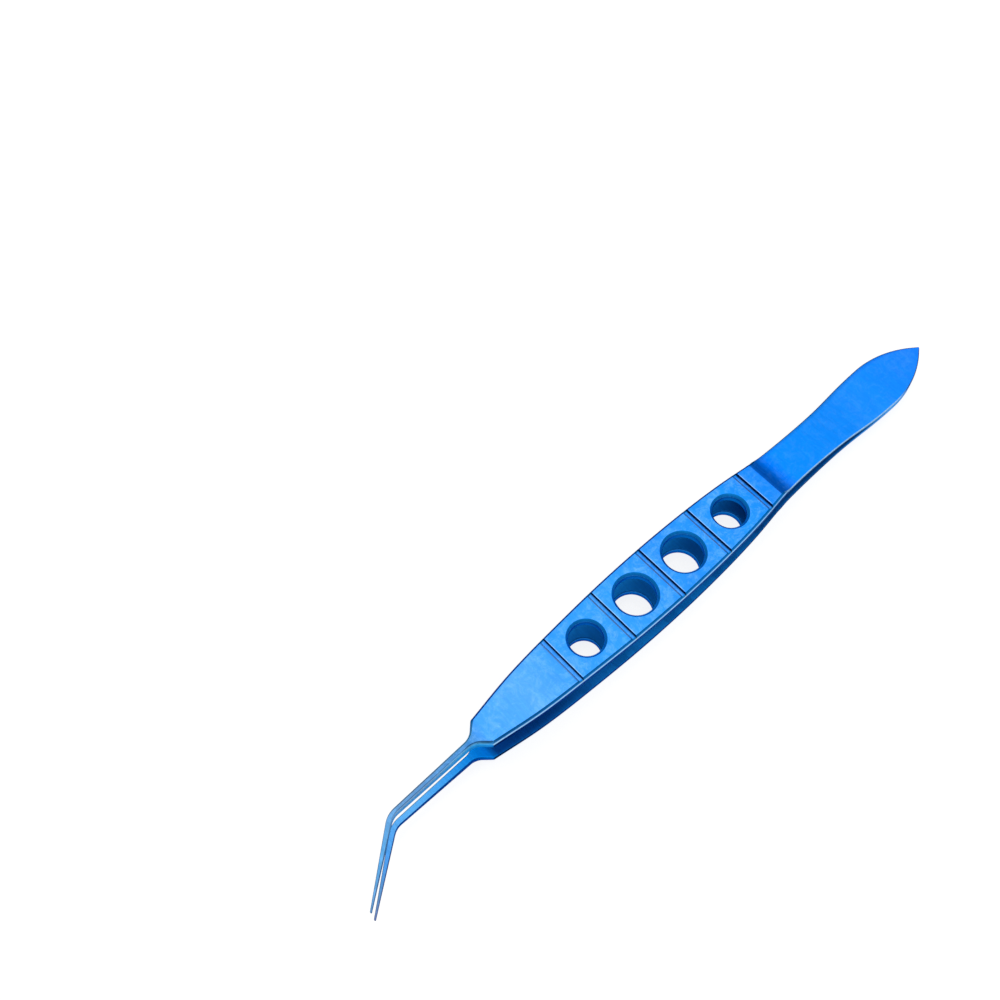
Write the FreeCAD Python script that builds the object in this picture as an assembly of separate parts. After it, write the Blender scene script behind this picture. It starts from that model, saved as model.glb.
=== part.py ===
# Ophthalmic tying forceps, angled pattern: two mirror-image arms joined at the tail.
# Millimetres, +Z up. The arms are drawn about the plane midway between them, tail point at
# x = 0 and tips toward +x, then laid down so the lower arm's grip face is flat on Z = 0.
import FreeCAD, Part
import math
import os

from FreeCAD import Vector

# Layout along the arm: the tail-side wall of the first groove is measured from the tail
# point, and the plain front and the shaft follow on from the last groove
weld_length = 11.25
first_groove_x = 35.7
groove_pitch = 9.0
groove_count = 5
front_length = 13.2
shaft_length = 13.4
bend_angle_deg = 37.9
angled_length = 11.5

# Grip section
grip_thickness = 1.5
grip_land = 2.2
groove_width = 0.85
groove_depth = 0.35
groove_lip_width = 0.25
groove_lip_drop = 0.2
large_bore_diameter = 5.65
small_bore_diameter = 4.7
bore_chamfer = 0.35
inner_bore_chamfer = 0.15
edge_chamfer = 0.35

# Spring leaf: thickness, widest half-width near the tail and where it falls
leaf_thickness = 0.8
tail_widest_x = 9.75
tail_half_width = 3.7
ramp_radius = 5.2

# Half-widths of the plan outline: at stations along the leaf, at the ramp edge, at each
# groove, halfway along the plain front and at the shoulder
leaf_station_x = (14.1, 18.8, 24.75, 29.25)
leaf_half_widths = (3.57, 3.19, 2.99, 3.03)
ramp_half_width = 3.3
groove_half_widths = (3.58, 4.32, 4.55, 4.38, 3.86)
front_half_width = 3.2
shoulder_half_width = 2.15
shoulder_side_slope = 0.155

# Neck, shaft and tip
shaft_half_width = 0.48
bend_half_width = 0.37
tip_half_width = 0.11
tip_thickness = 0.55
platform_length = 5.0
bend_radius = 2.8
neck_radius = 2.2
neck_run = 1.2
tail_radius = 0.2
tip_radius = 0.1

# Opening between the arms at rest: half the gap at the end of the grooves and at the tips
grip_half_gap = 2.4
tip_half_gap = 2.25

# Share by which the inner faces open faster than the closing angle in front of the weld, so
# the leaves never press into each other there
crotch_margin = 0.1

# Plain space used for cutting tools that must reach past the metal, and how near a corner
# an edge has to stand to belong to it
spare = 2.0
nearness = 0.1


def grooves():
    """Positions of the tail-side wall of each groove, tail end first."""
    return [first_groove_x + groove_pitch * i for i in range(groove_count)]


def grip_start():
    """Edge of the ramp, where the thick grip begins."""
    return first_groove_x - grip_land


def grip_end():
    """Tip-side edge of the last groove, where the plain front begins."""
    return grooves()[-1] + groove_width


def shoulder():
    """Corner where the plain front ends."""
    return grip_end() + front_length


def shaft_start():
    """Where the 45 degree shoulder lines meet the sides of the shaft."""
    return shoulder() + shoulder_half_width - shaft_half_width


def bend():
    """Where the centre lines of the shaft and of the angled tip cross."""
    return shaft_start() + shaft_length


def tip_point():
    """Centre of the tip end in the plan view."""
    angle = math.radians(bend_angle_deg)
    return (bend() + angled_length * math.cos(angle), angled_length * math.sin(angle))


def closing_angle():
    """Angle each arm turns about the front of the weld before the tips meet."""
    return math.atan(tip_half_gap / (tip_point()[0] - weld_length))


def plan_outline():
    """Closed plan outline of one arm with sharp corners."""
    tip_x, tip_y = tip_point()
    angle = math.radians(bend_angle_deg)
    along = (math.cos(angle), math.sin(angle))
    across = (-along[1], along[0])
    half_turn = math.tan(angle / 2.0)

    def nose(side):
        chord = tail_widest_x / 2.0
        radius = (tail_widest_x ** 2 + tail_half_width ** 2) / (2.0 * tail_half_width)
        drop = radius - math.sqrt(radius ** 2 - chord ** 2)
        return Vector(chord, side * (tail_half_width - drop), 0.0)

    def flank(side):
        stations = [(tail_widest_x, tail_half_width)]
        stations += zip(leaf_station_x, leaf_half_widths)
        stations.append((grip_start(), ramp_half_width))
        stations += zip(grooves(), groove_half_widths)
        stations.append((grip_end() + front_length / 2.0, front_half_width))
        stations.append((shoulder(), shoulder_half_width))
        points = [Vector(x, side * w, 0.0) for x, w in stations]
        curve = Part.BSplineCurve()
        curve.interpolate(Points=points, InitialTangent=Vector(1, 0, 0),
                          FinalTangent=Vector(1, -side * shoulder_side_slope, 0))
        return curve.toShape()

    def front_points(side):
        corner = Vector(bend() - side * bend_half_width * half_turn,
                        side * bend_half_width, 0.0)
        end = Vector(tip_x + side * tip_half_width * across[0],
                     tip_y + side * tip_half_width * across[1], 0.0)
        return [Vector(shoulder(), side * shoulder_half_width, 0.0),
                Vector(shaft_start(), side * shaft_half_width, 0.0), corner, end]

    edges = []
    ends = []
    for side in (-1.0, 1.0):
        start = Vector(0, 0, 0)
        widest = Vector(tail_widest_x, side * tail_half_width, 0.0)
        edges.append(Part.Arc(start, nose(side), widest).toShape())
        edges.append(flank(side))
        points = front_points(side)
        for a, b in zip(points, points[1:]):
            edges.append(Part.makeLine(a, b))
        ends.append(points[-1])
    edges.append(Part.makeLine(ends[0], ends[1]))
    return Part.Wire(Part.__sortEdges__(edges))


def upright_edges(shape, x, y, reach):
    """Edges parallel to Z standing within reach of a point in the plan view."""
    found = []
    for edge in shape.Edges:
        a = edge.Vertexes[0].Point
        b = edge.Vertexes[-1].Point
        upright = abs(a.z - b.z) > spare and math.hypot(a.x - b.x, a.y - b.y) < nearness
        if upright and math.hypot(a.x - x, a.y - y) < reach:
            found.append(edge)
    return found


def plan_prism():
    """Plan outline raised past the arm on both sides, with its corners rounded."""
    tall = grip_half_gap + grip_thickness + spare
    outline = plan_outline()
    outline.translate(Vector(0, 0, -spare))
    prism = Part.Face(outline).extrude(Vector(0, 0, tall + spare))
    angle = math.radians(bend_angle_deg)
    half_turn = math.tan(angle / 2.0)
    tip_x, tip_y = tip_point()
    rounds = [(0.0, 0.0, nearness, tail_radius)]
    rounds.append((tip_x, tip_y, 2.0 * tip_half_width, tip_radius))
    for side in (-1.0, 1.0):
        rounds.append((shaft_start(), side * shaft_half_width, nearness, neck_radius))
        rounds.append((bend() - side * bend_half_width * half_turn, side * bend_half_width,
                       nearness, bend_radius - side * bend_half_width))
    for x, y, reach, radius in rounds:
        prism = prism.makeFillet(radius, upright_edges(prism, x, y, reach))
    return prism


def side_profile():
    """Closed side view of one arm: flat tail, bowed leaf, ramp, grip, taper, platform."""
    turn = closing_angle()
    grip_x = grip_start()
    tip_x = tip_point()[0] + tip_half_width
    grip_inner = grip_half_gap - (grip_end() - grip_x) * math.tan(turn)
    platform_x = tip_x - platform_length
    platform_inner = tip_half_gap - platform_length * math.tan(turn)
    front_slope = (grip_half_gap - platform_inner) / (platform_x - grip_end())
    ramp_rise = grip_thickness - leaf_thickness
    sweep = math.acos(1.0 - ramp_rise / ramp_radius)
    ramp_x = grip_x - ramp_radius * math.sin(sweep)
    ramp_inner = grip_inner - (grip_x - ramp_x) * math.tan(turn)
    outward = Vector(1, 0, math.tan(turn))
    level = Vector(1, 0, 0)
    crotch = Vector(1, 0, math.tan(turn) * (1.0 + crotch_margin))

    def leaf_curve(height, start_direction):
        curve = Part.BSplineCurve()
        curve.interpolate(Points=[Vector(weld_length, 0, height),
                                  Vector(ramp_x, 0, ramp_inner + height)],
                          InitialTangent=start_direction * (ramp_x - weld_length),
                          FinalTangent=outward * (ramp_x - weld_length))
        return curve.toShape()

    tail_low = Vector(-spare, 0, 0)
    weld_low = Vector(weld_length, 0, 0)
    ramp_low = Vector(ramp_x, 0, ramp_inner)
    grip_low = Vector(grip_end(), 0, grip_half_gap)
    platform_low = Vector(platform_x, 0, platform_inner)
    tip_low = Vector(tip_x, 0, tip_half_gap)
    tip_high = Vector(tip_x, 0, tip_half_gap + tip_thickness)
    taper_x = shaft_start() + neck_run
    taper_inner = grip_half_gap - (taper_x - grip_end()) * front_slope
    taper_high = Vector(taper_x, 0, taper_inner + grip_thickness)
    grip_high = Vector(grip_end(), 0, grip_half_gap + grip_thickness)
    land_high = Vector(grip_x, 0, grip_inner + grip_thickness)
    ramp_high = Vector(ramp_x, 0, ramp_inner + leaf_thickness)
    mid_angle = sweep / 2.0
    ramp_mid = Vector(ramp_x + ramp_radius * math.sin(mid_angle), 0,
                      ramp_inner + leaf_thickness + ramp_radius * (1.0 - math.cos(mid_angle)))
    weld_high = Vector(weld_length, 0, leaf_thickness)
    tail_high = Vector(-spare, 0, leaf_thickness)
    edges = [
        Part.makeLine(tail_low, weld_low),
        leaf_curve(0.0, crotch),
        Part.makeLine(ramp_low, grip_low),
        Part.makeLine(grip_low, platform_low),
        Part.makeLine(platform_low, tip_low),
        Part.makeLine(tip_low, tip_high),
        Part.makeLine(tip_high, taper_high),
        Part.makeLine(taper_high, grip_high),
        Part.makeLine(grip_high, land_high),
        Part.Arc(land_high, ramp_mid, ramp_high).toShape(),
        leaf_curve(leaf_thickness, level),
        Part.makeLine(weld_high, tail_high),
        Part.makeLine(tail_high, tail_low),
    ]
    return Part.Wire(Part.__sortEdges__(edges))


def arm_blank():
    """Solid common to the plan prism and the side profile drawn out sideways."""
    half_width = max(groove_half_widths) + angled_length
    profile = side_profile()
    profile.translate(Vector(0, -half_width, 0))
    slab = Part.Face(profile).extrude(Vector(0, 2.0 * half_width, 0))
    return plan_prism().common(slab)


def outer_long_edges(shape, start, end, height):
    """Edges that run along the arm between two stations on its outer side."""
    found = []
    for edge in shape.Edges:
        a = edge.Vertexes[0].Point
        b = edge.Vertexes[-1].Point
        low = min(a.x, b.x)
        high = max(a.x, b.x)
        inside = low > start - nearness and high < end + nearness
        if inside and high - low > grip_land and min(a.z, b.z) > height:
            found.append(edge)
    return found


def on_grip(tool, x):
    """Move a tool drawn at the origin onto the outer grip face at a station."""
    turn = closing_angle()
    height = grip_half_gap + grip_thickness - (grip_end() - x) * math.tan(turn)
    tool.rotate(Vector(0, 0, 0), Vector(0, 1, 0), -math.degrees(turn))
    tool.translate(Vector(x, 0, height))
    return tool


def groove_cutter(x):
    """Cross groove with a square tail-side wall and a bevelled tip-side lip."""
    reach = max(groove_half_widths) + spare
    floor_end = groove_width - groove_lip_width
    corners = [
        (0.0, spare), (0.0, -groove_depth), (floor_end, -groove_depth),
        (floor_end, -groove_lip_drop), (groove_width, 0.0), (groove_width, spare),
    ]
    points = [Vector(a, -reach, b) for a, b in corners]
    face = Part.Face(Part.makePolygon(points + [points[0]]))
    return on_grip(face.extrude(Vector(0, 2.0 * reach, 0)), x)


def bore_cutter(x, diameter):
    """Through bore with a chamfer at the outer rim and a smaller one inside."""
    radius = diameter / 2.0
    down = Vector(0, 0, -1)
    bottom = Vector(0, 0, -grip_thickness)
    bore = Part.makeCylinder(radius, 2.0 * spare + grip_thickness,
                             Vector(0, 0, spare), down)
    rim = Part.makeCone(radius + 2.0 * bore_chamfer, radius, 2.0 * bore_chamfer,
                        Vector(0, 0, bore_chamfer), down)
    inner_rim = Part.makeCone(radius, radius + 2.0 * inner_bore_chamfer,
                              2.0 * inner_bore_chamfer,
                              bottom + Vector(0, 0, inner_bore_chamfer), down)
    return on_grip(bore.fuse([rim, inner_rim]), x)


def arm():
    """One finished arm, outer side up, about the plane midway between the arms."""
    shape = arm_blank()
    edges = outer_long_edges(shape, grip_start(), shoulder(), grip_half_gap)
    shape = shape.makeChamfer(edge_chamfer, edges)
    cutters = [groove_cutter(x) for x in grooves()]
    diameters = (small_bore_diameter, large_bore_diameter,
                 large_bore_diameter, small_bore_diameter)
    for x, diameter in zip(grooves(), diameters):
        cutters.append(bore_cutter(x + (groove_pitch + groove_width) / 2.0, diameter))
    return shape.cut(cutters).removeSplitter()


def lay_down(shapes):
    """Turn and shift the arms so the lower grip face lies flat at Z = 0."""
    turned = []
    for shape in shapes:
        shape.rotate(Vector(0, 0, 0), Vector(0, 1, 0), -math.degrees(closing_angle()))
        turned.append(shape)
    box = Part.Compound(turned).optimalBoundingBox(False, False)
    shift = Vector(-(box.XMin + box.XMax) / 2.0, -(box.YMin + box.YMax) / 2.0, -box.ZMin)
    for shape in turned:
        shape.translate(shift)
    return turned


upper = arm()
lower = upper.mirror(Vector(0, 0, 0), Vector(0, 0, 1))
upper, lower = lay_down([upper, lower])
os.makedirs("parts", exist_ok=True)
upper.exportStep("parts/upper_arm.step")
lower.exportStep("parts/lower_arm.step")
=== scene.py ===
# Angled ophthalmic forceps in blue anodised titanium, lying on a white table. The arms are
# worked out in millimetres about the plane midway between them, tail point at x = 0 and tips
# toward +x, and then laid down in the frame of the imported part, in metres.
import math

import bmesh
import bpy
import numpy as np
from mathutils import Matrix, Vector


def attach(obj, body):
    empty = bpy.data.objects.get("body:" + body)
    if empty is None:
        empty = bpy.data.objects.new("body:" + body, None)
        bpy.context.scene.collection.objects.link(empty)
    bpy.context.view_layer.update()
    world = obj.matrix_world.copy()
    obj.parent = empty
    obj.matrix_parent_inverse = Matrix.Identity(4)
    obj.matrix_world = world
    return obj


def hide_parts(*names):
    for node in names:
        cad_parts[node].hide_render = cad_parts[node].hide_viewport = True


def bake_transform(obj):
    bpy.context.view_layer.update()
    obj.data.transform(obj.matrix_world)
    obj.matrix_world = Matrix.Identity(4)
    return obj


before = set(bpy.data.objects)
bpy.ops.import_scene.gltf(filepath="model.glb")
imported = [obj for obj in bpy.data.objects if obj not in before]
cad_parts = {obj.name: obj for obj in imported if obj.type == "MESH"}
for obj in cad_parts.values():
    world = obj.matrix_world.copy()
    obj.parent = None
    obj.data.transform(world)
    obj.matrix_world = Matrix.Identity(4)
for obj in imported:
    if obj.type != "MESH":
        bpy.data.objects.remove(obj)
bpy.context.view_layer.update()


# Upper arm. One strip of titanium, milled to its plan outline, with a thick grip in the middle
# and a spring leaf ground down behind it. Five cross grooves and four bores are cut into the
# grip, its outer edges are chamfered, and its leaf is welded to the other arm at the tail.
WELD_END = 11.25
TAIL_WIDEST = 9.75
TAIL_HALF = 3.7
NOSE_RADIUS = 0.2
LEAF_THICK = 0.8
GRIP_THICK = 1.5
GRIP_END = 72.55
GRIP_Z = 2.4
RAMP_DROP = GRIP_THICK - LEAF_THICK
RAMP_EDGE = 33.5
RAMP_RADIUS = 5.2
RAMP_SWEEP = math.acos(1.0 - RAMP_DROP / RAMP_RADIUS)
RAMP_START = RAMP_EDGE - RAMP_RADIUS * math.sin(RAMP_SWEEP)
GROOVES = 35.7 + 9.0 * np.arange(5)
GROOVE_LENGTH = 0.9
CREST_LENGTH = 0.16
BORES = ((40.625, 2.35), (49.625, 2.825), (58.625, 2.825), (67.625, 2.35))
SHOULDER = 85.75
SHOULDER_HALF = 2.15
SHOULDER_SLOPE = -0.155
SHOULDER_RADIUS = 0.3
NECK = 87.42
NECK_RADIUS = 2.2
SHAFT_HALF = 0.48
BEND = 100.82
BEND_HALF = 0.37
BEND_RADIUS = 2.8
BEND_ANGLE = math.radians(37.9)
ANGLED_LENGTH = 11.5
ANGLED_HALF = 0.349
TIP_X = 110.0045
TIP_Z = 2.25
TIP_THICK = 0.55
TIP_HALF = 0.112
TIP_ROUND = 0.11
CLOSING = math.atan(TIP_Z / (TIP_X - TIP_ROUND - WELD_END))


def fair_curve(xs, ys, first_slope, last_slope):
    """Height and slope of the curve that passes through the given points in pieces of third
    degree, with one slope and one curvature where two pieces meet and set slopes at its ends."""
    xs = np.asarray(xs)
    ys = np.asarray(ys)
    gap = np.diff(xs)
    rise = np.diff(ys) / gap
    inner = np.arange(1, len(xs) - 1)
    rows = np.eye(len(xs))
    rows[inner, inner - 1] = 1.0 / gap[:-1]
    rows[inner, inner] = 2.0 / gap[:-1] + 2.0 / gap[1:]
    rows[inner, inner + 1] = 1.0 / gap[1:]
    right = np.full(len(xs), first_slope)
    right[-1] = last_slope
    right[inner] = 3.0 * (rise[:-1] / gap[:-1] + rise[1:] / gap[1:])
    slope = np.linalg.solve(rows, right)

    def curve(x):
        k = np.clip(np.searchsorted(xs, x) - 1, 0, len(gap) - 1)
        g = gap[k]
        t = (x - xs[k]) / g
        bend_a = g * (slope[k] - rise[k])
        bend_b = g * (rise[k] - slope[k + 1])
        y = ys[k] + t * g * rise[k] + t * (1 - t) * ((1 - t) * bend_a + t * bend_b)
        dy = rise[k] + ((1 - 4 * t + 3 * t * t) * bend_a + (2 * t - 3 * t * t) * bend_b) / g
        return y, dy
    return curve


flank = fair_curve(
    [TAIL_WIDEST, 14.1, 18.8, 24.75, 29.25, RAMP_EDGE, *GROOVES, 79.15, SHOULDER],
    [TAIL_HALF, 3.57, 3.19, 2.99, 3.03, 3.3, 3.58, 4.32, 4.55, 4.38, 3.86, 3.2, SHOULDER_HALF],
    0.0, SHOULDER_SLOPE)


def groove_stations(x):
    """Stations along the arm over one groove, how deep each is cut, how much painted shade and
    how much painted highlight each gets: a crest lit with a painted highlight, a square wall on
    the tail side painted dark as shade, which runs onto the flat floor beside it, and on the tip
    side a square step that rises 0.2 mm and a lip that slopes up the rest, lightened with a faint
    painted highlight."""
    steps = np.array([
        (-CREST_LENGTH, 0.0, 0.0, 0.0), (-0.1, 0.0, 0.0, 0.45), (-0.05, 0.0, 0.0, 0.45),
        (-0.015, 0.008, 0.5, 0.0), (0.0, 0.04, 1.0, 0.0), (0.0, 0.31, 1.0, 0.0),
        (0.012, 0.338, 1.0, 0.0), (0.05, 0.35, 1.0, 0.0), (0.11, 0.35, 0.8, 0.0),
        (0.17, 0.35, 0.3, 0.0), (0.36, 0.35, 0.1, 0.0), (0.58, 0.35, 0.0, 0.0),
        (0.608, 0.338, 0.0, 0.0), (0.62, 0.31, 0.0, 0.0), (0.62, 0.15, 0.0, 0.0),
        (0.632, 0.125, 0.0, 0.05), (0.66, 0.105, 0.0, 0.15), (0.78, 0.05, 0.0, 0.3),
        (0.83, 0.027, 0.0, 0.25), (0.86, 0.013, 0.0, 0.1), (GROOVE_LENGTH, 0.0, 0.0, 0.0)])
    return x + steps[:, :1], steps[:, 1:]


def straight_stations():
    """Stations from the tail's widest place to just before the shoulder, with the depth cut,
    the painted shade and the painted highlight at each, and the first and last station of each
    land with a bore. The ramp starts level with the leaf and rises on a circle."""
    flank_end = SHOULDER - 0.25
    plain = [TAIL_WIDEST, *np.linspace(TAIL_WIDEST + 0.5, RAMP_START - 0.02, 34)]
    rows = [[x, 0.0, 0.0, 0.0] for x in plain]
    for turn in np.linspace(0.0, RAMP_SWEEP, 15)[:-1]:
        x = RAMP_START + RAMP_RADIUS * math.sin(turn)
        rows.append([x, RAMP_DROP - RAMP_RADIUS * (1.0 - math.cos(turn)), 0.0, 0.0])
    rows += [[RAMP_EDGE - 0.03, 0.03, 0, 0], [RAMP_EDGE, 0.008, 0, 0], [RAMP_EDGE + 0.05, 0, 0, 0]]
    lands = []
    for i, x in enumerate(GROOVES):
        rows += np.hstack(groove_stations(x)).tolist()
        first = len(rows) - 1
        bored = i < len(BORES)
        stop = GROOVES[i + 1] - CREST_LENGTH if bored else flank_end
        rows += [[b, 0.0, 0.0, 0.0] for b in np.linspace(x + GROOVE_LENGTH, stop, 25)[1:-1]]
        if bored:
            lands.append((first, len(rows)))
    rows = np.array(rows + [[flank_end, 0.0, 0.0, 0.0]])
    return rows[:, 0], rows[:, 1:], lands


def plan_sides():
    """Left and right side of the plan outline, station by station, each with two inward
    steps: one for the first 0.3 mm, straight across the arm on the flanks and square to the
    outline elsewhere, and one for what lies beyond, mitred at the shoulder so that chamfers
    don't fold over there. The nose is a small circle run into two large arcs, the flanks are
    the fair curve, a 45 degree shoulder runs through a fillet into the shaft, the shaft turns
    on arcs about one centre, and the tip narrows to a round end."""
    big = (TAIL_WIDEST ** 2 + TAIL_HALF ** 2) / (2.0 * TAIL_HALF)
    reach = math.sqrt((big - NOSE_RADIUS) ** 2 - (big - TAIL_HALF) ** 2)
    touch = math.asin(reach / (big - NOSE_RADIUS))
    tight = np.linspace(math.pi / 2, touch, 9)
    wide = np.linspace(touch, 0.0, 26)[1:-1]
    x = [TAIL_WIDEST - reach - NOSE_RADIUS * np.sin(tight), TAIL_WIDEST - big * np.sin(wide)]
    y = [NOSE_RADIUS * np.cos(tight), TAIL_HALF - big + big * np.cos(wide)]
    nose = len(tight) + len(wide)
    flank_x, cuts, lands = straight_stations()
    lands = [(first + nose, last + nose) for first, last in lands]
    flank_y, flank_slope = flank(flank_x)
    x.append(flank_x)
    y.append(flank_y)

    slant = math.pi / 4
    start = math.atan(SHOULDER_SLOPE)
    turn = np.linspace(start, -slant, 7)
    corner = slice(nose + len(flank_x), nose + len(flank_x) + len(turn))
    lean = [tight, wide, np.arctan(flank_slope), turn]
    cut = SHOULDER_RADIUS * math.tan((slant + start) / 2.0)
    x.append(SHOULDER - cut * math.cos(start)
             + SHOULDER_RADIUS * (math.sin(start) - np.sin(turn)))
    y.append(SHOULDER_HALF - cut * math.sin(start)
             - SHOULDER_RADIUS * (math.cos(start) - np.cos(turn)))
    taper = math.atan((BEND_HALF - SHAFT_HALF) / (BEND - NECK))
    cut = NECK_RADIUS * math.tan((taper + slant) / 2.0)
    neck_x = NECK - cut * math.cos(slant)
    neck_y = SHAFT_HALF + cut * math.sin(slant)
    slide = np.linspace(0.0, 1.0, 7)[1:-1]
    x.append(x[-1][-1] * (1.0 - slide) + neck_x * slide)
    y.append(y[-1][-1] * (1.0 - slide) + neck_y * slide)
    turn = np.linspace(-slant, taper, 12)
    x.append(neck_x + NECK_RADIUS * (math.sin(slant) + np.sin(turn)))
    y.append(neck_y + NECK_RADIUS * (math.cos(slant) - np.cos(turn)))
    bend_x = BEND - BEND_RADIUS * math.tan(BEND_ANGLE / 2.0)
    shaft_x = np.linspace(x[-1][-1], bend_x, 14)[1:]
    x.append(shaft_x)
    y.append(SHAFT_HALF + (shaft_x - NECK) * math.tan(taper))
    lean += [np.full(len(slide), -slant), turn, np.full(len(shaft_x), taper)]

    x, y, lean = np.concatenate(x), np.concatenate(y), np.concatenate(lean)
    level = np.clip((83.0 - x) / 6.0, 0.0, 1.0)[:, None]
    level[:nose] = 0.0
    square = np.stack([-np.sin(lean), np.cos(lean)], 1)
    across = np.stack([np.zeros(len(x)), 1.0 / np.maximum(np.cos(lean), 0.2)], 1)
    inward = -(level * across + (1.0 - level) * square)
    beyond = inward.copy()
    mitre = inward[corner][0] + inward[corner][-1]
    beyond[corner] = mitre * 2.0 / (mitre @ mitre)

    half = y[-1]
    turn = np.linspace(0.0, BEND_ANGLE, 13)[1:, None]
    centre = np.array([bend_x, BEND_RADIUS])
    out = np.concatenate([np.sin(turn), -np.cos(turn)], 1)
    slim = half + (ANGLED_HALF - half) * turn / BEND_ANGLE
    run = np.array([math.cos(BEND_ANGLE), math.sin(BEND_ANGLE)])
    side = np.array([-run[1], run[0]])
    length = ANGLED_LENGTH - BEND_RADIUS * math.tan(BEND_ANGLE / 2.0) - TIP_ROUND
    t = np.linspace(0.0, 1.0, 18)[1:, None]
    middle = centre + BEND_RADIUS * out[-1] + t * length * run
    thin = ANGLED_HALF + (TIP_HALF - ANGLED_HALF) * t
    end = np.linspace(0.0, math.pi / 2, 6)[1:, None]
    end_left = np.sin(end) * run + np.cos(end) * side
    end_right = np.sin(end) * run - np.cos(end) * side

    flip = np.array([1.0, -1.0])
    left = np.stack([x, y], 1)
    right = left * flip
    left = np.concatenate([left, centre + (BEND_RADIUS - slim) * out, middle + thin * side,
                           middle[-1] + TIP_HALF * end_left])
    right = np.concatenate([right, centre + (BEND_RADIUS + slim) * out, middle - thin * side,
                            middle[-1] + TIP_HALF * end_right])
    sides = np.ones((len(t), 1)) * side
    front_left = [out, -sides, -end_left]
    front_right = [-out, sides, -end_right]
    left_in = np.stack([np.concatenate([steps, *front_left]) for steps in (inward, beyond)], 1)
    right_in = np.stack([np.concatenate([steps * flip, *front_right])
                         for steps in (inward, beyond)], 1)
    cuts = np.pad(cuts, ((nose, len(left) - nose - len(cuts)), (0, 0)))
    return left, left_in, right, right_in, cuts, lands


PLATFORM_X = TIP_X - 5.0
PLATFORM_Z = TIP_Z - 5.0 * math.tan(CLOSING)
RAMP_Z = GRIP_Z - (GRIP_END - RAMP_START) * math.tan(CLOSING)
TAPER_X = NECK + 1.2
FRONT_SLOPE = (GRIP_Z - PLATFORM_Z) / (PLATFORM_X - GRIP_END)


def inner_height(x):
    """Height of the inner face over the mid-plane: flat in the weld, a bowed leaf, then three
    straight runs to the end of the grip, to the start of the tips' flat and to its end."""
    leaf, _ = fair_curve([WELD_END, RAMP_START], [0.0, RAMP_Z],
                         1.1 * math.tan(CLOSING), math.tan(CLOSING))(x)
    runs = np.interp(x, [RAMP_START, GRIP_END, PLATFORM_X, TIP_X],
                     [RAMP_Z, GRIP_Z, PLATFORM_Z, TIP_Z])
    return np.where(x < WELD_END, 0.0, np.where(x < RAMP_START, leaf, runs))


def outer_height(x):
    """Height of the outer face with nothing cut into it: a leaf of one thickness, a grip of
    another drawn back over the ramp, then a straight taper to the tips."""
    leaf, _ = fair_curve([WELD_END, RAMP_START], [LEAF_THICK, RAMP_Z + LEAF_THICK],
                         0.0, math.tan(CLOSING))(x)
    taper_z = GRIP_Z - (TAPER_X - GRIP_END) * FRONT_SLOPE + GRIP_THICK
    runs = np.interp(x, [RAMP_START, GRIP_END, TAPER_X, TIP_X],
                     [RAMP_Z + GRIP_THICK, GRIP_Z + GRIP_THICK, taper_z, TIP_Z + TIP_THICK])
    return np.where(x < WELD_END, LEAF_THICK, np.where(x < RAMP_START, leaf, runs))


def outer_edge(x, soft, grip):
    """Inward step and drop of the six points of an outer edge, from wall to face: a quarter
    circle, and by the share called grip a flat chamfer with a small arc at its foot and at its
    lip, which narrows and gets half as deep along the neck."""
    wide = np.interp(x, [SHOULDER, NECK, BEND - 1.0, BEND + 2.0], [0.35, 0.24, 0.2, 0.0])
    deep = wide * np.interp(x, [SHOULDER, NECK], [1.4, 1.0])
    flatter = np.interp(x, [SHOULDER, NECK], [1.0, 0.5])
    foot = np.interp(x, [SHOULDER, NECK], [0.18, 0.08])
    lip = np.interp(x, [SHOULDER, NECK], [0.03, 0.07])
    none = np.zeros(x.shape)
    chamfer_step = np.hstack([
        none, 0.177 * foot, 0.707 * foot, wide - 0.707 * lip, wide + 0.073 * lip, wide + lip])
    chamfer_drop = flatter * np.hstack([
        deep + 2.0 * foot, deep + 0.073 * foot, deep - 0.707 * foot, 0.707 * lip, 0.177 * lip,
        none])
    arc = np.radians([0.0, 18.0, 36.0, 54.0, 72.0, 90.0])
    step = grip * chamfer_step + (1.0 - grip) * soft * (1.0 - np.cos(arc))
    drop = grip * chamfer_drop + (1.0 - grip) * soft * (1.0 - np.sin(arc))
    return step, drop


# The points of a section run round the arm in columns. The left outer edge is 0 to FACE, from
# wall to face, the outer face lies between FACE and RIGHT, the right outer edge is RIGHT to
# RIGHT + 5, from face to wall, the right inner edge is UNDER to INSIDE, and then come the
# inner face and the left inner edge, the last three.
ACROSS = 12
FACE = 5
RIGHT = ACROSS + 5
UNDER = ACROSS + 11
INSIDE = ACROSS + 13
COLUMNS = 2 * ACROSS + 16


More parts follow.
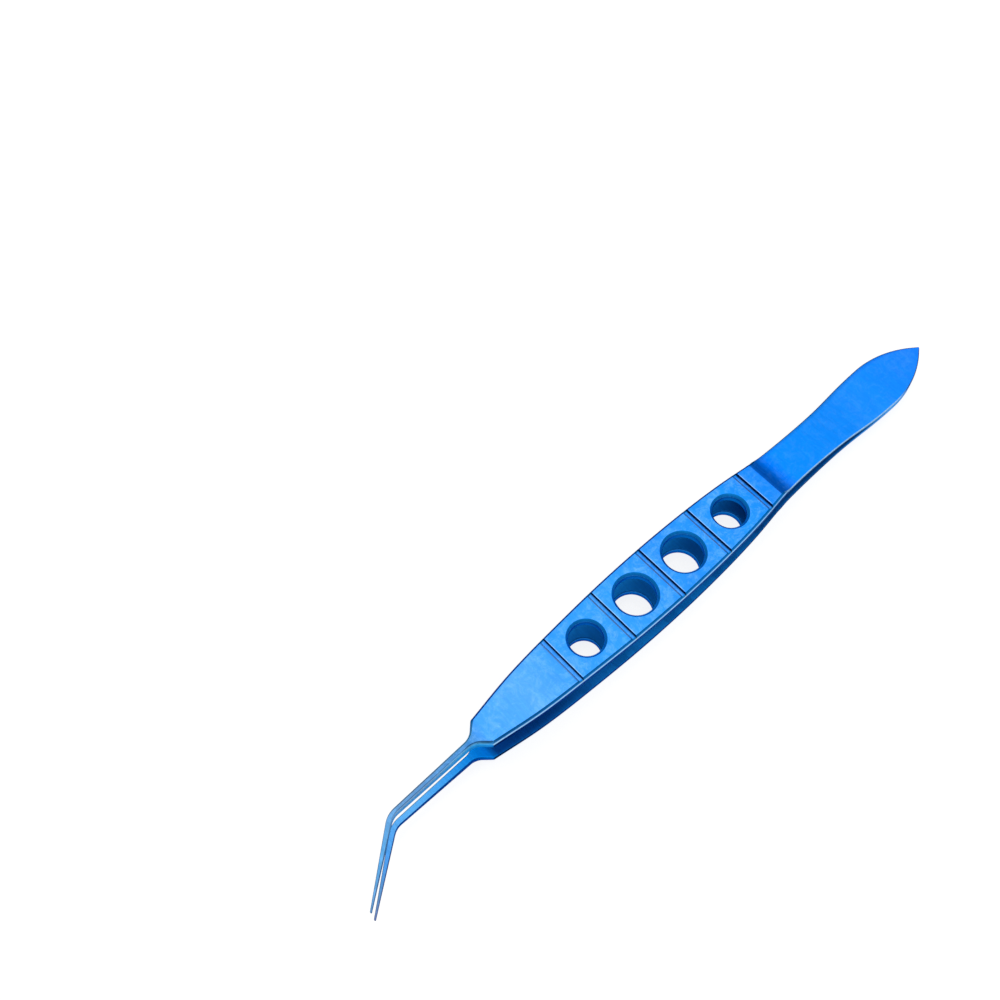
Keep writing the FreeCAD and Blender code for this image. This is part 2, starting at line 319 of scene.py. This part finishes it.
def film_marks(x, grip, painted_shade, highlight_amount):
    """Three marks for each point of a section: how much painted highlight, how much of a side (1)
    or of an inside (2), and how much painted shade. Corners of leaf and grip and the groove
    crests are pale with painted highlight, walls, chamfers and the edges of shaft and tips are
    darkened with painted shade, and each fades along the arm between given places."""
    marks = np.zeros((len(x), COLUMNS, 3))
    painted_highlight, side, shade = marks[..., 0], marks[..., 1], marks[..., 2]
    handle = np.clip((SHOULDER + 0.1 - x) / 0.2, 0.0, 1.0)
    shaft = (1.0 - handle) * grip
    welded = np.interp(x, [WELD_END, 19.0], [1.0, 0.0])
    nose = np.interp(x, [6.5, 9.0], [1.0, 0.0])
    tips = np.interp(x, [BEND, BEND + 2.0], [0.0, 0.5])

    # Pale painted highlights on the corners and the groove crests, none at the nose, and paler
    # walls near the weld.
    pale = grip * [0.0, 1.0, 0.0, 0.0, 0.0, 0.0] + (1.0 - grip) * [0.6, 0.9, 1.0, 0.9, 0.5, 0.0]
    painted_highlight[:, :FACE + 1] = pale * handle
    painted_highlight[:, FACE + 1:RIGHT] = highlight_amount
    painted_highlight[:, [0, -1]] = np.maximum(painted_highlight[:, [0, -1]], 0.45 * welded)
    painted_highlight[:, :FACE + 1] *= 1.0 - 0.9 * nose

    side[:, :FACE - 1] = 1.0
    side[:, FACE - 1:FACE] = 0.5 * (1.0 - shaft)
    side[:, RIGHT + 1] = 0.5
    side[:, RIGHT + 2:] = 1.0
    side[:, INSIDE:INSIDE + ACROSS + 1] = 2.0

    def darken(columns, amount):
        shade[:, columns] = np.maximum(shade[:, columns], amount)

    # Painted shade: walls, chamfers, the far edge, the edges of shaft and tips and the inner edges
    # along the shaft are darkened, and the edges at the nose too.
    shade[:, 1:RIGHT + 5] = painted_shade
    shade[:, [0, RIGHT + 5, UNDER, -1]] = handle * np.interp(
        x, [WELD_END, 19.0, RAMP_EDGE, GRIP_END, SHOULDER], [0.0, 0.85, 0.6, 0.5, 0.8])
    darken(slice(1, FACE), 0.8 * nose)
    darken([2, 3], grip * np.interp(
        x, [RAMP_EDGE, GRIP_END, SHOULDER - 0.1, SHOULDER], [0.3, 0.35, 0.5, 0.0]))
    places = [16.0, RAMP_START - 1.0, RAMP_EDGE, SHOULDER, NECK]
    darken([RIGHT], np.interp(x, places, [0.3, 0.25, 0.0, 0.0, 0.0]))
    darken([RIGHT + 1], np.interp(x, places, [0.8, 0.75, 0.2, 0.0, 0.0]))
    darken([RIGHT + 2], np.interp(x, places, [0.9, 0.85, 0.6, 0.6, 0.25]))
    darken([RIGHT + 3, RIGHT + 4], np.interp(x, places, [0.9, 0.9, 0.6, 0.6, 0.25]))
    for column, amounts in ((3, [0.7, 0.1, 0.2]), (4, [1.0, 0.4, 0.8]),
                            (FACE, [0.3, 0.05, 0.15]), (RIGHT + 4, [0.2, 0.2, 0.2])):
        shade[:, [column]] += shaft * np.interp(x, [NECK + 0.6, 90.0, 94.0], amounts)
    darken([0, 1, 2, 3, RIGHT + 2, RIGHT + 3, RIGHT + 4, RIGHT + 5], tips)
    darken([UNDER, UNDER + 1], 0.8 * (1.0 - handle))
    darken([INSIDE], 0.5 * (1.0 - handle))
    return marks


def arm_surface():
    """Closed surface of one arm as points, faces and marks of its film, painted highlight and
    painted shade. A section is carried from tail to tips: along each side of the plan outline
    its edges are rounded or chamfered by an inward step and a drop, and straight lines join the
    two sides. Round each bore the faces are rings instead, which run from the land's outline to
    the rim, down the wall and out again on the inner face."""
    left, left_in, right, right_in, cuts, lands = plan_sides()
    depth, painted_shade, highlight_amount = cuts.T[:, :, None]
    x = (left[:, :1] + right[:, :1]) / 2.0
    room = np.hypot(*(left - right).T)[:, None]
    soft = np.interp(x, [RAMP_START, RAMP_EDGE], [0.15, 0.1])
    soft = np.maximum(np.minimum(soft, room * 0.24), 1e-4)
    soft_in = np.maximum(np.minimum(0.05, room * 0.16), 1e-4)
    on_leaf = x < RAMP_START - 1e-6
    base = np.where(on_leaf, 0.0, depth)
    ramp_left = np.where(x < RAMP_EDGE, depth, 0.0)
    grip = np.where(on_leaf, 0.0, np.clip((0.6 - ramp_left) / 0.3, 0.0, 1.0))
    grip *= np.clip((BEND + 2.0 - x) / 3.0, 0.0, 1.0)
    step, drop = outer_edge(x, soft, grip)
    arc = np.radians([0.0, 45.0, 90.0])
    step_in = soft_in * (1.0 - np.cos(arc))
    rise_in = soft_in * (1.0 - np.sin(arc))

    def edge(side, inward, steps):
        near = np.minimum(steps, 0.3)[:, :, None] * inward[:, None, 0]
        far = np.maximum(steps - 0.3, 0.0)[:, :, None] * inward[:, None, 1]
        return side[:, None, :] + near + far

    def softness(steps):
        inset = np.clip(soft - steps, 0.0, None)
        return soft - np.sqrt(np.maximum(soft ** 2 - inset ** 2, 0.0))

    def outer_points(plan, fall, soft_fall):
        at = plan[..., 0]
        high = np.where(on_leaf, outer_height(np.minimum(at, RAMP_START - 1e-6)),
                        outer_height(np.maximum(at, RAMP_START + 1e-6)))
        z = high - np.maximum(fall, base + soft_fall)
        return np.concatenate([plan, z[..., None]], 2)

    def inner_points(plan, rise):
        z = inner_height(plan[..., 0]) + rise
        return np.concatenate([plan, z[..., None]], 2)

    def between(a, b):
        t = np.linspace(0.0, 1.0, ACROSS + 1)[1:-1, None]
        return a[:, None, :] * (1.0 - t) + b[:, None, :] * t

    out_l = edge(left, left_in, step)
    out_r = edge(right, right_in, step[:, ::-1])
    in_l = edge(left, left_in, step_in[:, ::-1])
    in_r = edge(right, right_in, step_in)
    grid = np.concatenate([
        outer_points(out_l, drop, softness(step)),
        outer_points(between(out_l[:, -1], out_r[:, 0]), 0.0, 0.0),
        outer_points(out_r, drop[:, ::-1], softness(step[:, ::-1])),
        inner_points(in_r, rise_in),
        inner_points(between(in_r[:, -1], in_l[:, 0]), 0.0),
        inner_points(in_l, rise_in[:, ::-1])], 1)

    index = np.arange(len(x) * COLUMNS).reshape(len(x), COLUMNS)
    after = np.roll(index, -1, 1)
    quads = np.stack([index[:-1], index[1:], after[1:], after[:-1]], 2)
    keep = np.ones(quads.shape[:2], bool)
    points = [grid.reshape(-1, 3)]
    marks = [film_marks(x, grip, painted_shade, highlight_amount).reshape(-1, 3)]
    faces = []

    def outline(first, last, cols):
        rows = np.arange(first, last + 1)
        return np.concatenate([
            index[first, cols[:-1]], index[rows[:-1], cols[-1]],
            index[last, cols[:0:-1]], index[rows[:0:-1], cols[0]]])

    for (first, last), (bore_x, radius) in zip(lands, BORES):
        keep[first:last, FACE:FACE + ACROSS] = False
        keep[first:last, INSIDE:INSIDE + ACROSS] = False
        loop = outline(first, last, np.arange(FACE, FACE + ACROSS + 1))
        low_loop = outline(first, last, np.arange(INSIDE + ACROSS, INSIDE - 1, -1))
        centre = np.array([bore_x, 0.0, outer_height(np.array(bore_x))])
        rim = points[0][loop] - centre
        angle = np.arctan2(rim[:, 1], rim[:, 0])
        along = np.array([math.cos(CLOSING), 0.0, math.sin(CLOSING)])
        up = np.array([-math.sin(CLOSING), 0.0, math.cos(CLOSING)])
        ray = np.cos(angle)[:, None] * along + np.sin(angle)[:, None] * np.array([0, 1.0, 0])
        thick = GRIP_THICK * math.cos(CLOSING)
        # Each ring: step out from the bore's radius, drop below the face, then its three marks of
        # painted highlight, side and painted shade: pale painted highlights on the rim and lower
        # down, and painted shade in rings down the wall.
        rings = np.array([
            (0.38, 0.0, 0.0, 0.0, 0.0), (0.355, 0.005, 0.0, 1.0, 0.0),
            (0.33, 0.02, 0.0, 1.0, 0.0), (0.04, 0.31, 0.0, 1.0, 0.0),
            (0.01, 0.345, 0.1, 1.0, 0.0), (0.0, 0.4, 0.0, 1.0, 0.35),
            (0.0, thick - 0.22, 0.0, 1.0, 0.2), (0.006, thick - 0.17, 0.12, 1.0, 0.0),
            (0.03, thick - 0.12, 0.0, 1.0, 0.4), (0.14, thick - 0.01, 0.0, 1.5, 0.4),
            (0.17, thick, 0.0, 2.0, 0.0)])
        step_out, below = rings[:, 0, None, None], rings[:, 1, None, None]
        tube = centre + (radius + step_out) * ray - below * up
        start = sum(len(p) for p in points)
        points.append(tube.reshape(-1, 3))
        marks.append(np.repeat(rings[:, 2:], len(loop), 0))
        ring = start + np.arange(len(rings) * len(loop)).reshape(len(rings), len(loop))
        ladder = np.concatenate([loop[None], ring, low_loop[None]])
        nxt = np.roll(ladder, -1, 1)
        faces.append(np.stack([ladder[:-1], ladder[1:], nxt[1:], nxt[:-1]], 2).reshape(-1, 4))
    faces.append(quads[keep])
    return np.concatenate(points), np.concatenate(faces), np.concatenate(marks)


def lay_down(points):
    """Turn by the closing angle about the arm's width, shift so that the lower grip face lies
    on the table and the box is centred over the origin, then millimetres to metres."""
    x, y, z = points.T
    c, s = math.cos(CLOSING), math.sin(CLOSING)
    shift = [-55.0221, -1.2808, 2.2446]
    return (np.stack([x * c - z * s, y, x * s + z * c], 1) + shift) * 0.001


def arm_piece(name, points, faces, light_and_film_marks):
    """Mesh object from the arm's surface, with seams and the two poles closed, its place on the
    arm in millimetres and its marks of film, painted highlight and painted shade kept as
    attributes."""
    mesh = bpy.data.meshes.new(name)
    mesh.from_pydata(lay_down(points), [], faces.tolist())
    place = mesh.attributes.new("place_mm", "FLOAT_VECTOR", "POINT")
    place.data.foreach_set("vector", points.ravel())
    tones = mesh.attributes.new("light_and_film_marks", "FLOAT_VECTOR", "POINT")
    tones.data.foreach_set("vector", light_and_film_marks.ravel())
    form = bmesh.new()
    form.from_mesh(mesh)
    bmesh.ops.remove_doubles(form, verts=form.verts, dist=2e-7)
    bmesh.ops.dissolve_degenerate(form, edges=form.edges, dist=1e-7)
    bmesh.ops.recalc_face_normals(form, faces=form.faces)
    form.to_mesh(mesh)
    form.free()
    mesh.polygons.foreach_set("use_smooth", np.ones(len(mesh.polygons), bool))
    piece = bpy.data.objects.new(name, mesh)
    bpy.context.scene.collection.objects.link(piece)
    weighted = piece.modifiers.new("even shading on flats", "WEIGHTED_NORMAL")
    weighted.mode = "FACE_AREA"
    weighted.weight = 50
    return piece


def linear(code):
    """Linear colour from an sRGB hex code."""
    c = np.array([int(code[i:i + 2], 16) for i in (1, 3, 5)]) / 255.0
    c = np.where(c <= 0.04045, c / 12.92, ((c + 0.055) / 1.055) ** 2.4)
    return (*c.tolist(), 1.0)


def add(tree, kind, inputs=(), **settings):
    """Adds one node with its settings, and its inputs as pairs of socket and value or link."""
    node = tree.nodes.new(kind)
    for key, value in settings.items():
        setattr(node, key, value)
    for socket, value in inputs:
        if isinstance(value, bpy.types.NodeSocket):
            tree.links.new(value, node.inputs[socket])
        else:
            node.inputs[socket].default_value = value
    return node


def stops(ramp, colours):
    """Puts the given pairs of place from 0 to 1 and colour on a colour ramp."""
    marks = ramp.color_ramp.elements
    while len(marks) < len(colours):
        marks.new(0.5)
    for mark, (place, code) in zip(marks, colours):
        mark.position = place
        mark.color = linear(code)


# Anodised titanium: milled, brushed across by hand and dipped in a bath under voltage, which
# grows a clear oxide film that shows as blue. The brushing keeps it satin and the film's tone
# drifts where the metal is thin. Cut sides take a film of their own, walls and edges are
# darkened with painted shade, and the corners carry pale painted highlights.
def anodised_titanium(name, face_film, side_film, inside_film, shift):
    """Metal whose colour follows the place along the arm, on faces, sides and insides, with
    a haze in spots of 0.5 to 2 mm, cross brushing drawn 0.3 mm apart, since the real 0.05 mm
    would not show, painted shade in navy with a darker edge tint, and pale painted highlights."""
    metal = bpy.data.materials.new(name)
    metal.use_nodes = True
    tree = metal.node_tree
    tree.nodes.clear()
    place = add(tree, "ShaderNodeAttribute", attribute_name="place_mm").outputs["Vector"]
    axes = add(tree, "ShaderNodeSeparateXYZ", [(0, place)])
    along = add(tree, "ShaderNodeMapRange",
                [(0, axes.outputs[0]), ("From Min", 0.0), ("From Max", 111.0)]).outputs[0]
    marks = add(tree, "ShaderNodeAttribute", attribute_name="light_and_film_marks").outputs["Vector"]
    painted_highlight, side, painted_shade = add(tree, "ShaderNodeSeparateXYZ", [(0, marks)]).outputs
    films = []
    for film in (face_film, side_film, inside_film):
        films.append(add(tree, "ShaderNodeValToRGB", [(0, along)]))
        stops(films[-1], film)
    cloud = add(tree, "ShaderNodeTexNoise", [
        ("Vector", place), ("Scale", 0.6), ("Detail", 8.0), ("Roughness", 0.85),
        ("Distortion", 0.5)])
    amount = add(tree, "ShaderNodeMapRange", [
        (0, along), ("From Min", 0.3), ("From Max", 0.33), ("To Min", 0.15), ("To Max", 0.7)])
    soft = add(tree, "ShaderNodeMapRange", [
        (0, cloud.outputs[0]), ("From Min", 0.47), ("From Max", 0.72),
        ("To Max", amount.outputs[0])])
    hazed = add(tree, "ShaderNodeMix", [
        (0, soft.outputs[0]), (6, films[0].outputs[0]), (7, linear("#7CC0FF"))],
        data_type="RGBA")
    cut = add(tree, "ShaderNodeMix", [
        (0, side), (6, hazed.outputs[2]), (7, films[1].outputs[0])], data_type="RGBA")
    deep = add(tree, "ShaderNodeMath", [(0, side), (1, 1.0)], operation="SUBTRACT",
               use_clamp=True)
    film = add(tree, "ShaderNodeMix", [
        (0, deep.outputs[0]), (6, cut.outputs[2]), (7, films[2].outputs[0])],
        data_type="RGBA")
    # Painted shade: the dark mark mixes the colour toward navy #032450.
    shaded = add(tree, "ShaderNodeMix", [
        (0, painted_shade), (6, film.outputs[2]), (7, linear("#032450"))], data_type="RGBA")
    stretch = add(tree, "ShaderNodeMapping", [
        ("Vector", place), ("Location", (shift, 0.0, 0.0)), ("Scale", (3.2, 0.35, 0.5))])
    brush = add(tree, "ShaderNodeTexNoise", [
        ("Vector", stretch.outputs[0]), ("Scale", 1.0), ("Detail", 4.0), ("Roughness", 0.65)])
    streak = add(tree, "ShaderNodeMapRange", [
        (0, brush.outputs[0]), ("From Min", 0.3), ("From Max", 0.7),
        ("To Min", 0.88), ("To Max", 1.08)])
    brushed = add(tree, "ShaderNodeMix", [
        (0, 1.0), (6, shaded.outputs[2]), (7, streak.outputs[0])],
        data_type="RGBA", blend_type="MULTIPLY")
    highlight_noise = add(tree, "ShaderNodeTexNoise", [
        ("Vector", place), ("Scale", 1.4), ("Detail", 2.0)])
    highlight_amount = add(tree, "ShaderNodeMapRange", [
        (0, highlight_noise.outputs[0]), ("From Min", 0.3), ("From Max", 0.5), ("To Min", 0.75)])
    highlight_share = add(tree, "ShaderNodeMath", [
        (0, painted_highlight), (1, highlight_amount.outputs[0])], operation="MULTIPLY", use_clamp=True)
    # The pale #BCE4FF is a painted highlight on corners, groove crests and bore rims.
    colour = add(tree, "ShaderNodeMix", [
        (0, highlight_share.outputs[0]), (6, brushed.outputs[2]), (7, linear("#BCE4FF"))],
        data_type="RGBA")
    satin = add(tree, "ShaderNodeMapRange", [
        (0, brush.outputs[0]), ("To Min", 0.28), ("To Max", 0.44)])
    satin = add(tree, "ShaderNodeMix", [
        (0, deep.outputs[0]), (2, satin.outputs[0]), (3, 0.6)])
    # Painted shade also turns the edge tint toward #0A2A50, so that grazing reflections go dark.
    glint = add(tree, "ShaderNodeMix", [
        (0, painted_shade), (6, linear("#5FA5DC")), (7, linear("#0A2A50"))], data_type="RGBA")
    bump = add(tree, "ShaderNodeBump", [
        ("Strength", 0.5), ("Distance", 4e-6), ("Height", brush.outputs[0])])
    shader = add(tree, "ShaderNodeBsdfPrincipled", [
        ("Base Color", colour.outputs[2]), ("Metallic", 1.0),
        ("Specular Tint", glint.outputs[2]),
        ("Roughness", satin.outputs[0]), ("Normal", bump.outputs[0])])
    add(tree, "ShaderNodeOutputMaterial", [(0, shader.outputs[0])])
    return metal


points, faces, light_and_film_marks = arm_surface()
upper = arm_piece("upper_arm_body", points, faces, light_and_film_marks)
# The face film's dark band from 0.283 to 0.299 lies over the ramp as painted shade.
upper.data.materials.append(anodised_titanium("blue anodised titanium, upper arm", [
    (0.0, "#1A7FFF"), (0.08, "#1585FF"), (0.12, "#1A8AFC"), (0.16, "#148AFC"),
    (0.22, "#108CFF"), (0.268, "#0C87FF"), (0.283, "#006CE4"), (0.299, "#006CE4"),
    (0.304, "#1883F8"), (0.36, "#2290FB"), (0.46, "#298DFB"), (0.56, "#3398FB"),
    (0.64, "#3296FF"), (0.70, "#52A4FF"), (0.77, "#449FFF"), (0.785, "#3E88D0"),
    (0.80, "#407FC0"), (0.85, "#568DC6"), (0.89, "#6090C2"), (0.945, "#559FD7"),
    (1.0, "#5F84AE")], [
    (0.0, "#1289E4"), (0.66, "#1289E4"), (0.765, "#1280D8"),
    (0.78, "#58B0EC"), (0.81, "#68B0E4"), (0.85, "#7AA8D6"), (0.92, "#80AEDC"),
    (1.0, "#6A94C4")], [
    (0.0, "#0A84BC"), (0.70, "#0A84BC"), (0.80, "#40A8F0"), (1.0, "#6C9FCF")], 3.0))
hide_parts("upper_arm")
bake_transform(upper)


# Lower arm. The same strip of titanium turned over: its inner face looks up at the upper arm,
# and its grip face lies on the table. Its inner face is painted darker as the upper arm's shade
# and brighter blue on the shaft, where it comes out of that shade. Its sides are painted darker
# on the shaft as shade, and its marks of painted shade are a fifth stronger, except near the
# weld. Its tip is greyer.
flipped = points * [1.0, 1.0, -1.0]
lower_shaded_marks = light_and_film_marks * [1.0, 1.0, 1.2]
lower_shaded_marks[:, 2] *= np.interp(points[:, 0], [17.0, 24.0], [0.2, 1.0])
lower = arm_piece("lower_arm_body", flipped, faces[:, ::-1], lower_shaded_marks)
lower.data.materials.append(anodised_titanium("blue anodised titanium, lower arm", [
    (0.0, "#1A87FF"), (0.31, "#1C81FF"), (0.62, "#3092FF"), (0.84, "#52A4FF"),
    (1.0, "#5F84AE")], [
    (0.0, "#1289E4"), (0.76, "#1280D8"), (0.79, "#0A4C94"), (0.84, "#0A4484"), (0.93, "#1A5AA0"),
    (1.0, "#6A70A8")], [
    (0.0, "#0854A0"), (0.32, "#0A5AA4"), (0.40, "#0E70BC"), (0.56, "#147CC8"),
    (0.64, "#1068B4"), (0.70, "#0A56A4"), (0.766, "#0A58A8"), (0.774, "#0699FA"),
    (0.785, "#069CFA"), (0.806, "#28A6F8"), (0.85, "#5CBCFF"), (0.885, "#6EC4FF"),
    (0.94, "#5CB0FA"), (0.97, "#6C9FCF"), (1.0, "#7B80B8")], 11.0))
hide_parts("lower_arm")
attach(lower, "lower")


# Table. A plain white table top, well beyond the picture. The camera and the metal see it as white
# paper under even light, with the faint shadow that the forceps leaves on it.
def white_table():
    """Matt white, lifted for camera, glossy and transmission rays so that it shows as white."""
    paper = bpy.data.materials.new("matt white table")
    paper.use_nodes = True
    tree = paper.node_tree
    tree.nodes.clear()
    ray = add(tree, "ShaderNodeLightPath")
    seen = add(tree, "ShaderNodeMath", [
        (0, ray.outputs["Is Camera Ray"]), (1, ray.outputs["Is Glossy Ray"])],
        operation="MAXIMUM")
    seen = add(tree, "ShaderNodeMath", [
        (0, seen.outputs[0]), (1, ray.outputs["Is Transmission Ray"])], operation="MAXIMUM")
    matt = add(tree, "ShaderNodeBsdfDiffuse", [(0, linear("#EFEFEE"))])
    glow = add(tree, "ShaderNodeEmission", [(0, (1.0, 1.0, 1.0, 1.0)), (1, 1.25)])
    lifted = add(tree, "ShaderNodeMixShader", [
        (0, 0.65), (1, matt.outputs[0]), (2, glow.outputs[0])])
    both = add(tree, "ShaderNodeMixShader", [
        (0, seen.outputs[0]), (1, matt.outputs[0]), (2, lifted.outputs[0])])
    add(tree, "ShaderNodeOutputMaterial", [(0, both.outputs[0])])
    return paper


table_mesh = bpy.data.meshes.new("table_top")
reach = np.array([(-1, -1), (1, -1), (1, 1), (-1, 1)]) * 3.0
table_mesh.from_pydata(np.column_stack([reach, np.zeros(4)]), [], [(0, 1, 2, 3)])
table = bpy.data.objects.new("table_top", table_mesh)
bpy.context.scene.collection.objects.link(table)
table_mesh.materials.append(white_table())


# Light. One wide soft box straight over the table and an even grey room. The faces that look up
# mirror the box, while chamfers and walls mirror the darker room and the table.
lamp = bpy.data.lights.new("overhead soft box", "AREA")
lamp.shape = "SQUARE"
lamp.size = 1.3
lamp.energy = 4.7
box = bpy.data.objects.new("overhead soft box", lamp)
box.location = (-0.15, 0.0, 0.65)
bpy.context.scene.collection.objects.link(box)

room = bpy.data.worlds.new("grey room")
room.use_nodes = True
room.node_tree.nodes.clear()
grey = add(room.node_tree, "ShaderNodeBackground", [(0, (1.0, 1.0, 1.0, 1.0)), (1, 0.42)])
add(room.node_tree, "ShaderNodeOutputWorld", [(0, grey.outputs[0])])
bpy.context.scene.world = room
bpy.context.scene.view_settings.view_transform = "Standard"


# Camera. Where the photograph was taken from: about 18 cm away, looking down steeply across the
# arms from the tip side, worked out from the grooves and bores.
lens = bpy.data.cameras.new("camera")
lens.sensor_width = 36.0
lens.lens = 48.6
lens.clip_start = 0.005
lens.clip_end = 20.0
camera = bpy.data.objects.new("camera", lens)
ahead = Vector((-0.27996263, -0.33914287, -0.89811082))
right_hand = Vector((-0.73384563, 0.67875723, -0.02755375))
turned = Matrix((right_hand, right_hand.cross(ahead), -ahead)).transposed()
camera.matrix_world = Matrix.Translation((0.058015, 0.038264, 0.170618)) @ turned.to_4x4()
bpy.context.scene.collection.objects.link(camera)
bpy.context.scene.camera = camera
